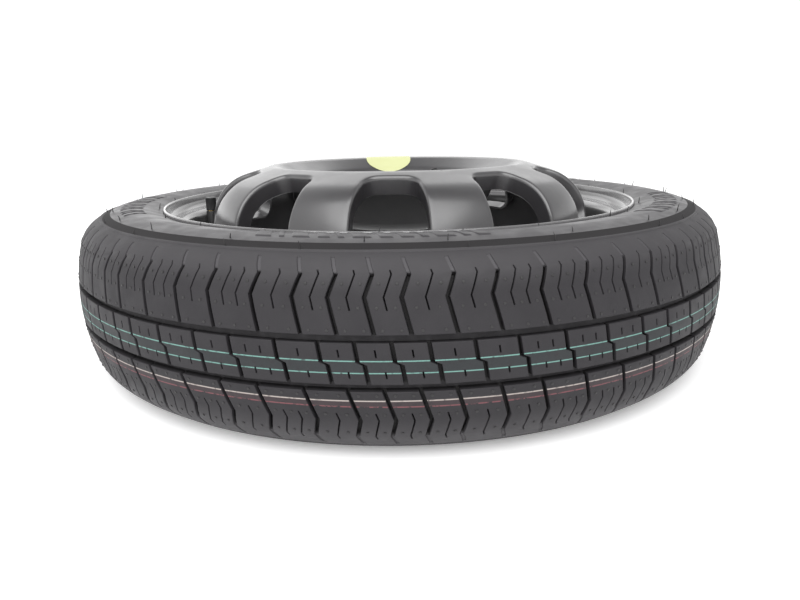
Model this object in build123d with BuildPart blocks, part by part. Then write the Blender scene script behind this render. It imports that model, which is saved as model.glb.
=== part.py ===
from build123d import *
import os
from itertools import accumulate
from math import asin, cos, degrees, hypot, radians, sin, tan

# Space saver spare wheel lying on its back: +Z is the wheel axis, outer face up, the floor is Z = 0.
# Radii are measured from the wheel axis. Heights called half, up or down are measured from the
# tyre's middle plane. Lengths are millimetres and angles degrees.

os.makedirs("parts", exist_ok=True)

# Tyre section
tyre_diameter = 581.4
section_width = 137.0
tread_crown_radius = 165.0
tread_half = 44.0
shoulder_radius = 27.0
shoulder_angle = 66.8
rest_ring_radius = 245.0
rest_ring_width = 6.0
band_radius = 260.3
band_drop = 2.7
lip_rise = 3.0
bead_clearance = 0.4
bead_width = 11.5
bead_height = 11.0
bead_thickness = 9.0
sidewall_thickness = 7.0
shoulder_thickness = 9.5
under_tread = 6.0
liner_blend = 10.0

# Tread pattern: two straight grooves, and cross grooves at an uneven pitch
groove_depth = 5.0
centre_rib_half = 12.8
straight_groove_width = 4.6
cross_groove_depth = 4.4
cross_groove_width = 2.8
centre_slot_width = 2.5
groove_run_in = 1.0
pitch_shares = {"L": 6.1, "M": 5.3, "S": 4.3}
pitch_sequence = 6 * "LLMLMSSSMML" + "MS"
first_groove_angle = -130.3
rib_shift = 9.2
outer_kink_run = 21.0
outer_kink_side = 6.0
outer_end_run = 38.0
outer_end_side = 0.6
centre_slot_side = 8.2

# Rolled steel rim
bead_seat_diameter = 405.6
rim_width = 101.6
rim_sheet = 2.2
flange_height = 15.2
flange_curl = 9.5
flange_half = 66.0
seat_taper = 5.0
seat_corner = 5.0
hump_height = 1.2
hump_foot_half = 38.5
hump_top_half = 35.5
hump_blend = 4.0
well_depth = 21.9
well_wall_up = 30.3
well_end_down = 12.0
well_slope_down = 32.0
well_mouth_corner = 4.1
well_floor_corner = 1.9
well_slope_blend = 8.0

# Pressed steel disc
disc_sheet = 3.0
disc_fit = 0.2
skirt_down = 6.0
dome_edge_up = 63.0
dome_edge_blend = 25.0
dome_knee_radius = 156.0
dome_knee_up = 87.4
dome_knee_blend = 40.0
crown_radius = 117.6
crown_up = 99.2
crown_blend = 14.0
dish_knee_radius = 92.0
dish_knee_up = 84.7
dish_knee_blend = 20.0
pad_radius = 76.0
pad_blend = 10.0
wheel_offset = 43.0
centre_bore = 65.1
bolt_circle = 108.0
bolt_count = 5
bolt_hole = 14.5
bolt_seat_depth = 2.0
bolt_seat_angle = 60.0
dish_hole = 8.0
dish_hole_angle = 65.0

# Windows of the disc, with their edges turned in
window_count = 10
window_angle = -92.2
window_bottom = -30.0
window_shoulder = 8.0
window_top = 39.0
window_bottom_width = 61.6
window_shoulder_width = 56.0
window_top_width = 37.0
window_bottom_corner = 11.0
window_shoulder_blend = 30.0
window_top_corner = 11.0
collar_depth = 13.0

# Weld runs between the disc's skirt and the rim
weld_count = 10
weld_leg = 4.0
weld_arc = 20.0

# Snap-in valve
valve_angle = 174.0
valve_hole = 11.5
valve_hole_fit = 0.1
valve_base = 15.4
valve_base_length = 5.5
valve_collar = 14.6
valve_collar_length = 4.0
valve_body_length = 20.0
valve_body_top = 10.6
stem_diameter = 6.8
stem_bond = 0.05
stem_thread = 7.7
stem_thread_length = 11.0
stem_passage = 3.4
core_bore = 5.2
core_fit = 0.1
core_below_mouth = 0.8
core_length = 15.0
core_foot = 3.0
spring_room = 3.8
pin_diameter = 1.2
pin_fit = 0.15
pin_below_mouth = 0.3
pin_head = 3.2
pin_head_depth = 1.0
pin_head_length = 0.8
pin_travel = 1.2
plunger_diameter = 3.2
plunger_length = 1.6
plunger_room = 0.4
core_seal_diameter = 4.0
core_seal_length = 0.9
core_seal_gap = 0.1
spring_wire = 0.36
spring_diameter = 2.8
spring_turns = 5
spring_end_gap = 0.1
cap_fit = 0.2
cap_wall = 1.1
cap_lift = 0.6
cap_roof = 1.4
cap_chamfer = 0.9
cap_seal_length = 1.0
cap_seal_gap = 0.3

# Round sticker at the top of the dish's slope
sticker_diameter = 50.0
sticker_film = 0.25
sticker_gap = 0.3
sticker_angle = 95.0
sticker_down_slope = 8.7

# Places worked out from these sizes
mid = section_width / 2
tyre_radius = tyre_diameter / 2
seat_radius = bead_seat_diameter / 2
seat_half = rim_width / 2
flange_radius = seat_radius + flange_height
hump_foot_radius = seat_radius - (seat_half - hump_foot_half) * tan(radians(seat_taper))
hump_radius = hump_foot_radius + hump_height
well_radius = seat_radius - well_depth
disc_radius = well_radius - rim_sheet - disc_fit
pad_up = wheel_offset + disc_sheet
bolt_seat_radius = bolt_hole / 2 + bolt_seat_depth * tan(radians(bolt_seat_angle / 2))


def at(radius, height):
    """A point of the wheel's section, from its radius and its height over the middle plane."""
    return (radius, mid + height)


# Tyre: half the section is turned about the axis and mirrored, then the tread is cut
tread_edge_angle = degrees(asin(tread_half / tread_crown_radius))
groove_middle = centre_rib_half + straight_groove_width / 2
groove_angle = degrees(asin(groove_middle / tread_crown_radius))
half_tread_angles = [groove_angle, tread_edge_angle, (tread_edge_angle + shoulder_angle) / 2]
tread_angles = [-angle for angle in reversed(half_tread_angles)] + half_tread_angles
crown_centre_radius = tyre_radius - tread_crown_radius * cos(radians(groove_angle))


def tread_point(angle, depth):
    """A point under the tread, from the slope angle there: on the crown's arc, or past it the shoulder's."""
    turn = radians(angle)
    edge = radians(max(-tread_edge_angle, min(tread_edge_angle, angle)))
    to_shoulder = tread_crown_radius - shoulder_radius
    radius = crown_centre_radius + to_shoulder * cos(edge) + (shoulder_radius - depth) * cos(turn)
    return at(radius, to_shoulder * sin(edge) + (shoulder_radius - depth) * sin(turn))


shoulder_ring_radius, shoulder_ring_height = tread_point(shoulder_angle, 0)
shoulder_ring_half = shoulder_ring_height - mid
bead_radius = seat_radius + bead_clearance
bead_half = seat_half - bead_clearance
lip_radius = flange_radius + bead_clearance
lip_corner = flange_curl + bead_clearance
lip_half = bead_half + lip_corner + lip_rise
toe_half = bead_half - bead_width
toe_radius = bead_radius - bead_width * tan(radians(seat_taper))
liner_crown_radius = tyre_radius - groove_depth - under_tread

with BuildPart() as tread_skin:
    with BuildSketch(Plane.XZ):
        with BuildLine():
            floor = [tread_point(angle, cross_groove_depth) for angle in tread_angles]
            cover = [tread_point(angle, -cross_groove_depth) for angle in reversed(tread_angles)]
            Polyline(*floor, *cover, close=True)
        make_face()
    revolve()


def cross_groove(path, width):
    """The cutter of one cross groove at angle 0: a kinked strip of even width, as deep as the tread skin."""
    with BuildPart() as cutter:
        with BuildSketch(Plane(origin=(tyre_radius, 0, mid), x_dir=(0, 1, 0), z_dir=(1, 0, 0))):
            with BuildLine():
                right = [(side + width / 2, height) for side, height in path]
                left = [(side - width / 2, height) for side, height in reversed(path)]
                Polyline(*right, *left, close=True)
            make_face()
        extrude(amount=tyre_radius - shoulder_ring_radius + cross_groove_depth, both=True)
        add(tread_skin.part, mode=Mode.INTERSECT)
    return cutter.part


outer_rib_start = centre_rib_half + straight_groove_width
upper_path = [
    (0, outer_rib_start - groove_run_in),
    (-outer_kink_side, outer_rib_start + outer_kink_run),
    (-outer_end_side, outer_rib_start + outer_end_run),
]
lower_path = [(-side, -height) for side, height in upper_path]
centre_path = [(0, centre_rib_half + groove_run_in), (centre_slot_side, -centre_rib_half - groove_run_in)]
centre_shift = degrees(rib_shift / tyre_radius)
lower_shift = 2 * centre_shift + degrees(centre_slot_side / tyre_radius)
pitch_steps = [pitch_shares[letter] for letter in pitch_sequence]
pitch_starts = [first_groove_angle + 360 * run / sum(pitch_steps) for run in accumulate(pitch_steps)]
rib_cutters = [
    (cross_groove(upper_path, cross_groove_width), 0),
    (cross_groove(centre_path, centre_slot_width), centre_shift),
    (cross_groove(lower_path, cross_groove_width), lower_shift),
]

with BuildPart() as tyre:
    with BuildSketch(Plane.XZ):
        with BuildLine():
            tread_line = [tread_point(angle, 0) for angle in [*half_tread_angles, shoulder_angle]]
            Polyline(at(tyre_radius, 0), *tread_line)
            Polyline(
                at(shoulder_ring_radius, shoulder_ring_half),
                at(band_radius, mid - band_drop),
                at(rest_ring_radius + rest_ring_width / 2, mid),
                at(rest_ring_radius - rest_ring_width / 2, mid),
                at(lip_radius, lip_half),
            )
            FilletPolyline(
                at(lip_radius, lip_half),
                at(lip_radius, bead_half),
                at(bead_radius, bead_half),
                at(toe_radius, toe_half),
                radius=[lip_corner, seat_corner],
            )
            FilletPolyline(
                at(toe_radius, toe_half),
                at(toe_radius + bead_height, bead_half - bead_thickness),
                at(rest_ring_radius, mid - sidewall_thickness),
                at(shoulder_ring_radius, shoulder_ring_half - shoulder_thickness),
                at(liner_crown_radius, tread_half - shoulder_thickness),
                at(liner_crown_radius, 0),
                radius=liner_blend,
            )
            Line(at(liner_crown_radius, 0), at(tyre_radius, 0))
        make_face()
    revolve()
    mirror(about=Plane.XY.offset(mid))
    with BuildSketch(Plane.XZ):
        for side in (-1, 1):
            with Locations(at(tyre_radius, side * groove_middle)):
                Rectangle(2 * groove_depth, straight_groove_width)
    revolve(mode=Mode.SUBTRACT)
    for cutter, shift in rib_cutters:
        with Locations(*[Location((0, 0, 0), (0, 0, start + shift)) for start in pitch_starts]):
            add(cutter, clean=False, mode=Mode.SUBTRACT)

# Rim: one rolled strip, with its drop well nearer the outer face and a valve hole in the well's wall
upper_half_rim = [
    (flange_half, flange_radius, 0),
    (seat_half, flange_radius, flange_curl),
    (seat_half, seat_radius, seat_corner),
    (hump_foot_half, hump_foot_radius, hump_blend),
    (hump_top_half, hump_radius, hump_blend),
]
rim_path = [
    *upper_half_rim,
    (well_wall_up, hump_radius, well_mouth_corner),
    (well_wall_up, well_radius, well_floor_corner),
    (-well_end_down, well_radius, well_slope_blend),
    (-well_slope_down, hump_radius, well_mouth_corner),
    *[(-height, radius, blend) for height, radius, blend in reversed(upper_half_rim)],
]
valve_radius = (well_radius + well_floor_corner + hump_radius - well_mouth_corner) / 2
valve_x = valve_radius * cos(radians(valve_angle))
valve_y = valve_radius * sin(radians(valve_angle))
valve_seat = mid + well_wall_up + rim_sheet

with BuildPart() as rim:
    with BuildSketch(Plane.XZ):
        with BuildLine():
            FilletPolyline(
                *[at(radius, height) for height, radius, blend in rim_path],
                radius=[blend for height, radius, blend in rim_path[1:-1]],
            )
            offset(amount=rim_sheet, side=Side.RIGHT)
        make_face()
    revolve()
    with Locations((valve_x, valve_y, valve_seat)):
        Hole(valve_hole / 2, depth=2 * rim_sheet)

# Disc: a dome that rises out of the rim to a crown, dips to the hub pad, and has windows with collars
disc_path = [
    at(disc_radius, -skirt_down),
    at(disc_radius, dome_edge_up),
    at(dome_knee_radius, dome_knee_up),
    at(crown_radius, crown_up),
    at(dish_knee_radius, dish_knee_up),
    at(pad_radius, pad_up),
    at(centre_bore / 2, pad_up),
]
disc_blends = [dome_edge_blend, dome_knee_blend, crown_blend, dish_knee_blend, pad_blend]
slope_rise = dome_knee_up - dome_edge_up
slope_run = disc_radius - dome_knee_radius
window_plane = Plane(
    origin=((disc_radius + dome_knee_radius) / 2, 0, mid + (dome_edge_up + dome_knee_up) / 2),
    x_dir=(0, 1, 0),
    z_dir=(slope_rise, 0, slope_run),
)
window_outline = [
    (-window_bottom_width / 2, window_bottom),
    (window_bottom_width / 2, window_bottom),
    (window_shoulder_width / 2, window_shoulder),
    (window_top_width / 2, window_top),
    (-window_top_width / 2, window_top),
    (-window_shoulder_width / 2, window_shoulder),
]
half_window_corners = [window_bottom_corner, window_shoulder_blend, window_top_corner]
window_corners = [window_bottom_corner, *half_window_corners, *reversed(half_window_corners[1:])]
window_reach = 2 * collar_depth

with BuildPart() as window_cutter:
    with BuildSketch(window_plane.offset(-window_reach)) as window_opening:
        with BuildLine():
            FilletPolyline(*window_outline, radius=window_corners, close=True)
        make_face()
    extrude(amount=2 * window_reach)

with BuildPart() as window_collar:
    with BuildSketch(Plane.XZ):
        with BuildLine():
            FilletPolyline(*disc_path, radius=disc_blends)
            offset(amount=collar_depth, side=Side.LEFT)
        make_face()
    revolve()
    with BuildSketch(window_plane.offset(-window_reach)):
        add(window_opening.sketch_local)
        offset(amount=disc_sheet)
    extrude(amount=2 * window_reach, mode=Mode.INTERSECT)

with BuildPart() as weld_run:
    with BuildSketch(Plane.XZ):
        with BuildLine():
            Polyline(
                at(disc_radius, -skirt_down),
                at(disc_radius - weld_leg, -skirt_down),
                at(disc_radius, -skirt_down - weld_leg),
                close=True,
            )
        make_face()
    revolve(revolution_arc=weld_arc)

dish_hole_plane = Plane(
    origin=(
        dish_knee_radius * cos(radians(dish_hole_angle)),
        dish_knee_radius * sin(radians(dish_hole_angle)),
        mid + dish_knee_up,
    ),
    z_dir=(-cos(radians(dish_hole_angle)), -sin(radians(dish_hole_angle)), 1),
)

with BuildPart() as wheel_disc:
    with BuildSketch(Plane.XZ):
        with BuildLine():
            FilletPolyline(*disc_path, radius=disc_blends)
            offset(amount=disc_sheet, side=Side.LEFT)
        make_face()
    revolve()
    with PolarLocations(0, window_count, start_angle=window_angle):
        add(window_collar.part, clean=False)
    with PolarLocations(0, window_count, start_angle=window_angle):
        add(window_cutter.part, clean=False, mode=Mode.SUBTRACT)
    with PolarLocations(0, weld_count, start_angle=window_angle):
        add(weld_run.part, clean=False)
    with Locations((0, 0, mid + pad_up)):
        with PolarLocations(bolt_circle / 2, bolt_count, start_angle=window_angle):
            CounterSinkHole(bolt_hole / 2, bolt_seat_radius, counter_sink_angle=bolt_seat_angle)
    with BuildSketch(dish_hole_plane):
        Circle(dish_hole / 2)
    extrude(amount=dish_knee_blend, both=True, mode=Mode.SUBTRACT)

# Sticker: a disc of thin film that follows the crown and the dish's slope
slope_length = hypot(crown_radius - dish_knee_radius, crown_up - dish_knee_up)
slope_inward = (crown_radius - dish_knee_radius) / slope_length
slope_fall = (crown_up - dish_knee_up) / slope_length
sticker_radius = crown_radius - sticker_down_slope * slope_inward
sticker_turn = (cos(radians(sticker_angle)), sin(radians(sticker_angle)))
sticker_plane = Plane(
    origin=(
        sticker_radius * sticker_turn[0],
        sticker_radius * sticker_turn[1],
        mid + crown_up - sticker_down_slope * slope_fall,
    ),
    z_dir=(-slope_fall * sticker_turn[0], -slope_fall * sticker_turn[1], slope_inward),
)

with BuildPart() as speed_sticker:
    with BuildSketch(Plane.XZ):
        for layer, layer_mode in ((sticker_gap + sticker_film, Mode.ADD), (sticker_gap, Mode.SUBTRACT)):
            with BuildLine():
                FilletPolyline(*disc_path[1:-1], radius=disc_blends[1:-1])
                offset(amount=layer, side=Side.RIGHT)
            make_face(mode=layer_mode)
    revolve()
    with BuildSketch(sticker_plane):
        Circle(sticker_diameter / 2)
    extrude(amount=sticker_diameter / 2, both=True, mode=Mode.INTERSECT)

# Valve: a rubber body snapped into the rim, with a brass stem, a spring-loaded core and a cap
valve_section = Plane(origin=(valve_x, valve_y, 0), x_dir=(1, 0, 0), z_dir=(0, -1, 0))
valve_axis = Axis((valve_x, valve_y, 0), (0, 0, 1))
valve_inside = valve_seat - rim_sheet
stem_foot = valve_inside - valve_base_length
body_top = valve_seat + valve_body_length
mouth = body_top + stem_thread_length
core_top = mouth - core_below_mouth
core_end = core_top - core_length
foot_top = core_end + core_foot
seal_end = core_end - core_seal_length
plunger_top = seal_end - core_seal_gap
plunger_end = plunger_top - plunger_length
chamber_end = plunger_end - pin_travel - plunger_room
head_top = core_top - pin_head_depth
head_end = head_top - pin_head_length
cap_inside = stem_thread / 2 + cap_fit
cap_end = body_top + cap_lift
cap_ceiling = mouth + cap_seal_gap + cap_seal_length

with BuildPart() as valve_body:
    with BuildSketch(valve_section):
        with BuildLine():
            Polyline(
                (stem_diameter / 2 + stem_bond, stem_foot),
                (valve_base / 2, stem_foot),
                (valve_base / 2, valve_inside - valve_hole_fit),
                (valve_hole / 2 - valve_hole_fit, valve_inside - valve_hole_fit),
                (valve_hole / 2 - valve_hole_fit, valve_seat + valve_hole_fit),
                (valve_collar / 2, valve_seat + valve_hole_fit),
                (valve_collar / 2, valve_seat + valve_collar_length),
                (valve_body_top / 2, body_top),
                (stem_diameter / 2 + stem_bond, body_top),
                close=True,
            )
        make_face()
    revolve(axis=valve_axis)

with BuildPart() as valve_stem:
    with BuildSketch(valve_section):
        with BuildLine():
            Polyline(
                (stem_passage / 2, stem_foot),
                (stem_diameter / 2, stem_foot),
                (stem_diameter / 2, body_top),
                (stem_thread / 2, body_top),
                (stem_thread / 2, mouth),
                (core_bore / 2, mouth),
                (core_bore / 2, chamber_end),
                (stem_passage / 2, chamber_end),
                close=True,
            )
        make_face()
    revolve(axis=valve_axis)

with BuildPart() as valve_core_barrel:
    with BuildSketch(valve_section):
        with BuildLine():
            Polyline(
                (pin_diameter / 2 + pin_fit, core_end),
                (core_bore / 2 - core_fit, core_end),
                (core_bore / 2 - core_fit, core_top),
                (spring_room / 2, core_top),
                (spring_room / 2, foot_top),
                (pin_diameter / 2 + pin_fit, foot_top),
                close=True,
            )
        make_face()
    revolve(axis=valve_axis)

with BuildPart() as valve_core_seal:
    with BuildSketch(Plane(origin=(valve_x, valve_y, seal_end))):
        Circle(core_seal_diameter / 2)
        Circle(pin_diameter / 2 + pin_fit, mode=Mode.SUBTRACT)
    extrude(amount=core_seal_length)

with BuildPart() as valve_core_pin:
    with BuildSketch(valve_section):
        with BuildLine():
            Polyline(
                (0, plunger_end),
                (plunger_diameter / 2, plunger_end),
                (plunger_diameter / 2, plunger_top),
                (pin_diameter / 2, plunger_top),
                (pin_diameter / 2, head_end),
                (pin_head / 2, head_end),
                (pin_head / 2, head_top),
                (pin_diameter / 2, head_top),
                (pin_diameter / 2, mouth - pin_below_mouth),
                (0, mouth - pin_below_mouth),
                close=True,
            )
        make_face()
    revolve(axis=valve_axis)

spring_low = foot_top + spring_wire / 2 + spring_end_gap
spring_high = head_end - spring_wire / 2 - spring_end_gap

with BuildPart() as valve_core_spring:
    with BuildLine() as coil:
        Helix(
            pitch=(spring_high - spring_low) / spring_turns,
            height=spring_high - spring_low,
            radius=spring_diameter / 2,
            center=(valve_x, valve_y, spring_low),
        )
    with BuildSketch(Plane(origin=coil.line @ 0, z_dir=coil.line % 0)):
        Circle(spring_wire / 2)
    sweep(path=coil.line, is_frenet=True)

with BuildPart() as valve_cap:
    with BuildSketch(valve_section):
        with BuildLine():
            Polyline(
                (cap_inside, cap_end),
                (cap_inside + cap_wall, cap_end),
                (cap_inside + cap_wall, cap_ceiling + cap_roof - cap_chamfer),
                (cap_inside + cap_wall - cap_chamfer, cap_ceiling + cap_roof),
                (0, cap_ceiling + cap_roof),
                (0, cap_ceiling),
                (cap_inside, cap_ceiling),
                close=True,
            )
        make_face()
    revolve(axis=valve_axis)

with BuildPart() as cap_seal:
    with BuildSketch(Plane(origin=(valve_x, valve_y, cap_ceiling - cap_seal_length))):
        Circle(cap_inside - cap_fit / 2)
    extrude(amount=cap_seal_length)

pieces = {
    "tyre": tyre,
    "rim": rim,
    "wheel_disc": wheel_disc,
    "speed_sticker": speed_sticker,
    "valve_body": valve_body,
    "valve_stem": valve_stem,
    "valve_core_barrel": valve_core_barrel,
    "valve_core_seal": valve_core_seal,
    "valve_core_pin": valve_core_pin,
    "valve_core_spring": valve_core_spring,
    "valve_cap": valve_cap,
    "cap_seal": cap_seal,
}
for name, piece in pieces.items():
    piece.part.label = name
    export_step(piece.part, f"parts/{name}.step")
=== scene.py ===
"""Looks of a space saver spare wheel that lies on its back, outer face up.

Shapes are worked out in millimetres, as radius from the wheel's axis and height over the tyre's middle
plane. They go into the meshes in metres over the floor. Angles are radians unless a name says degrees.
"""

from math import asin, cos, pi, radians, sin, tan

import bmesh
import bpy
import numpy as np
from mathutils import Matrix


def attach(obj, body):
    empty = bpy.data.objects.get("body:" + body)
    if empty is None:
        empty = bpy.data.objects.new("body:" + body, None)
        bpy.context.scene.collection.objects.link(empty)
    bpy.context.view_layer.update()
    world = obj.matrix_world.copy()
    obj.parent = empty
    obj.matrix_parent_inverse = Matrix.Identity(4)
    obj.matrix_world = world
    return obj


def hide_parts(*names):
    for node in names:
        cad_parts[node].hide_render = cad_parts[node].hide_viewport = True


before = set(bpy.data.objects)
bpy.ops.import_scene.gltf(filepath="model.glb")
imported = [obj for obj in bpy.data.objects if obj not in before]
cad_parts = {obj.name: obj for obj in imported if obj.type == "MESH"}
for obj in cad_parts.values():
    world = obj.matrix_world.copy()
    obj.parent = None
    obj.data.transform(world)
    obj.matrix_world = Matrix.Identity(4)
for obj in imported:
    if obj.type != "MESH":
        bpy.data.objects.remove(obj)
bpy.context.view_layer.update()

MID = 68.5
FULL_TURN = 2 * pi
WELD_METRES = 3e-6

# Tyre sizes
TYRE_RADIUS = 290.7
CROWN_ARC = 165.0
TREAD_HALF = 44.0
SHOULDER_ARC = 27.0
SHOULDER_RING = (269.1, 61.7)
BAND_EDGE = (260.3, 65.8)
BEAD_TOP = (218.4, 63.3)
BEAD_TOE = (202.2, 38.9)
PITCH_SHARES = {"L": 6.1, "M": 5.3, "S": 4.3}
PITCH_SEQUENCE = 6 * "LLMLMSSSMML" + "MS"
FIRST_GROOVE_DEGREES = -130.3

# Depths of the tread's cuts, and the heights where they start, change and end
GROOVE_DEPTH = 5.0
CROSS_DEPTH = 4.4
SIPE_DEPTH = 2.8
BEVEL_DEPTH = 0.3
TAIL_END_DEPTH = 0.8
TAIL_DEPTH = 1.0
STRAIGHT_GROOVE = (12.4, 12.8, 13.1, 17.1, 17.4, 17.8)
CROSS_GROOVE = (-57.7, -57.3, -50.1, -49.3, 51.5, 52.3, 59.5, 59.9)
SIPES = (-52.2, -51.8, -32.4, -32.0, 31.4, 31.8, 53.3, 53.7)
TICKS = (-8.9, -8.5, -4.9, -4.5, 4.1, 4.5, 8.6, 9.0)
LOWER_PLAIN_ROWS = (-61.7, -61.0, -59.5, -55.0, -43.9, -37.6, -24.5, -0.5)
UPPER_PLAIN_ROWS = (1.2, 24.5, 39.0, 43.9, 48.0, 56.5, 58.6, 61.0, 61.7)

# Rim sizes
RIM_SHEET = 2.2
FLANGE_RADIUS = 218.0
FLANGE_TOP = 66.0
RIM_HALF_WIDTH = 50.8
SEAT_RADIUS = 202.8
HUMP_RADIUS = 202.924
WELL_RADIUS = 180.9

# Disc sizes
DISC_SHEET = 3.0
DISC_RADIUS = 178.5
SKIRT_FOOT = -6.0
LIP_DROP = 0.6
SECTOR_FOOT = 28.0
SECTOR_TOP = (119.0, 98.0)
CROWN = (117.6, 99.2)
DISH_KNEE = (92.0, 84.7)
PAD_TOP = 46.0
PAD_RADIUS = 64.0
BORE_FRAME = 34.0
DOME_PIVOT = (120.0, 40.0)
COLUMN_DEGREES = 1.8
ROW_GAP = 0.5
WINDOW_COUNT = 10
WINDOW_DEGREES = -92.2
WINDOW_CENTRE = (167.25, 75.2)
WINDOW_TILT = (24.4, 22.5)
WINDOW_ROLL = 3.4
COLLAR = 15.0
COLLAR_ROUND = 0.8
BOLT_COUNT = 5
BOLT_CIRCLE_RADIUS = 54.0
BOLT_SEAT = ((9.4, PAD_TOP), (8.75, 45.75), (7.35, 44.0), (7.25, 43.3), (7.55, PAD_TOP - DISC_SHEET))
DISH_HOLE_DEGREES = 65.0
DISH_HOLE_COLUMNS = 3
DISH_HOLE_MOUTH = 4.6
DISH_HOLE_SIZES = ((4.15, 0.12), (4.0, 0.5), (4.0, DISC_SHEET - 0.3), (4.2, DISC_SHEET))
DISH_BLOCK_HALF = 9.0
WELD_DEGREES = 20.0

# Sticker sizes
STICKER_RADIUS = 25.0
STICKER_DEGREES = 95.6
STICKER_DOWN = 4.8
FILM_TOP = 0.5
FILM_EDGE = 0.42
FILM_FOOT = 0.3
FILM_ROUND = 0.4

# Valve sizes
VALVE_RADIUS = 190.78
VALVE_DEGREES = 174.0
VALVE_SEAT = 32.5
VALVE_CENTRE = (VALVE_RADIUS * cos(radians(VALVE_DEGREES)), VALVE_RADIUS * sin(radians(VALVE_DEGREES)))
CAP_RADIUS = 5.14
CAP_BORE = 4.06
CAP_FOOT = 20.65
CAP_TOP = 33.65
RIB_COUNT = 24
RIB_DEPTH = 0.32
RIB_ENDS = (21.6, 22.4, 31.4, 32.2)
RIB_MIDDLE = 27.0


# Shapes


def rounded_line(corners, steps):
    """Points of a line from corners of two coordinates and a blend each. An inner corner becomes an arc
    with the blend as its radius, which touches both runs and turns in even steps.
    """
    corners, blends = np.split(np.array(corners, float), [2], axis=1)
    points = [corners[:1]]
    for before, corner, after, radius in zip(corners, corners[1:], corners[2:], blends[1:, 0]):
        back = (before - corner) / np.linalg.norm(before - corner)
        on = (after - corner) / np.linalg.norm(after - corner)
        half = np.arccos(np.clip(back @ on, -1, 1)) / 2
        centre = corner + (back + on) / np.linalg.norm(back + on) * radius / sin(half)
        start = corner + back * radius / tan(half) - centre
        end = corner + on * radius / tan(half) - centre
        share = np.linspace(0, 1, steps + 1)[:, None]
        turn = pi - 2 * half
        points.append(centre + (start * np.sin((1 - share) * turn) + end * np.sin(share * turn)) / sin(turn))
    points.append(corners[-1:])
    return np.vstack(points)


def runs(line):
    """The unit direction of a line at each of its points, from the points before and after."""
    step = np.gradient(line, axis=0)
    return step / np.linalg.norm(step, axis=1, keepdims=True)


def right_of(line):
    """Unit normals to the right of a line's run in its section: the run turned a quarter back."""
    run = runs(line)
    return np.column_stack([run[:, 1], -run[:, 0]])


def travel_along(line):
    """How far each point of a line lies from its start, as the sum of the steps before it."""
    return np.concatenate([[0], np.cumsum(np.linalg.norm(np.diff(line, axis=0), axis=1))])


def sheet_section(line, thickness):
    """A closed section of sheet: the line, a half-round edge, the line moved right by the thickness, and
    another half-round edge.
    """
    side = right_of(line)
    run = runs(line)
    turn = np.linspace(0, pi, 6)[1:-1, None]
    middle = line + side * thickness / 2
    end = middle[-1] + thickness / 2 * (-np.cos(turn) * side[-1] + np.sin(turn) * run[-1])
    start = middle[0] + thickness / 2 * (np.cos(turn) * side[0] - np.sin(turn) * run[0])
    return np.vstack([line, end, (line + side * thickness)[::-1], start])


def even_turn(count):
    """Angles of a full turn in even steps, without the first one again at its end."""
    return np.linspace(0, FULL_TURN, count, endpoint=False)


def place(radius, azimuth, height):
    """Points from cylinder coordinates: x is r cos a, y is r sin a, z is the height."""
    radius, azimuth, height = np.broadcast_arrays(radius, azimuth, height)
    return np.stack([radius * np.cos(azimuth), radius * np.sin(azimuth), height], axis=-1)


def turned(section, azimuths, centre=(0.0, 0.0)):
    """A section of radius and height carried round an upright axis: rows along the section."""
    grid = place(section[:, :1], azimuths[None, :], section[:, 1:])
    return grid + np.array([centre[0], centre[1], 0.0])


def turn_about_axis(grid, angle):
    """A grid turned about the wheel's axis."""
    turn = np.array([[cos(angle), sin(angle), 0], [-sin(angle), cos(angle), 0], [0, 0, 1]])
    return grid @ turn


def grid_faces(rows, columns, rows_close, columns_close):
    """Four-sided faces of a grid of points numbered row by row, closed on itself either way or not."""
    row = np.arange(rows if rows_close else rows - 1)[:, None]
    column = np.arange(columns if columns_close else columns - 1)[None, :]
    right, down = (column + 1) % columns, (row + 1) % rows
    here, below = row * columns, down * columns
    corners = [here + column, here + right, below + right, below + column]
    return np.stack(corners, axis=-1).reshape(-1, 4)


def add_piece(name, patches, material, body, node=None, sharp_degrees=38, welded=True):
    """One mesh of grids, each given with whether its rows and its columns close, welded where grids meet."""
    points, faces, first = [], [], 0
    for grid, rows_close, columns_close in patches:
        faces.append(first + grid_faces(*grid.shape[:2], rows_close, columns_close))
        points.append(grid.reshape(-1, 3))
        first += len(points[-1])
    points = (np.vstack(points) + [0, 0, MID]) / 1000
    mesh = bpy.data.meshes.new(name)
    mesh.from_pydata(points, [], np.vstack(faces).tolist())
    shell = bmesh.new()
    shell.from_mesh(mesh)
    if welded:
        bmesh.ops.remove_doubles(shell, verts=shell.verts, dist=WELD_METRES)
    bmesh.ops.recalc_face_normals(shell, faces=shell.faces)
    shell.to_mesh(mesh)
    shell.free()
    mesh.shade_smooth()
    mesh.set_sharp_from_angle(angle=radians(sharp_degrees))
    mesh.materials.append(material)
    piece = bpy.data.objects.new(name, mesh)
    bpy.context.scene.collection.objects.link(piece)
    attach(piece, body)
    if node:
        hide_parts(node)
    return piece


# Materials


def add_node(tree, kind, inputs=None, **settings):
    """A shader node with its settings made, and each input linked to a socket or filled with a value."""
    node = tree.nodes.new(kind)
    for key, value in settings.items():
        setattr(node, key, value)
    for key, value in (inputs or {}).items():
        if isinstance(value, bpy.types.NodeSocket):
            tree.links.new(value, node.inputs[key])
        else:
            node.inputs[key].default_value = value
    return node


def smooth_step(tree, value, low, high, to_low, to_high):
    """A smooth step of a value: to_low up to low, to_high from high on."""
    inputs = {"Value": value, "From Min": low, "From Max": high, "To Min": to_low, "To Max": to_high}
    return add_node(tree, "ShaderNodeMapRange", inputs, interpolation_type="SMOOTHSTEP").outputs["Result"]


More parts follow.
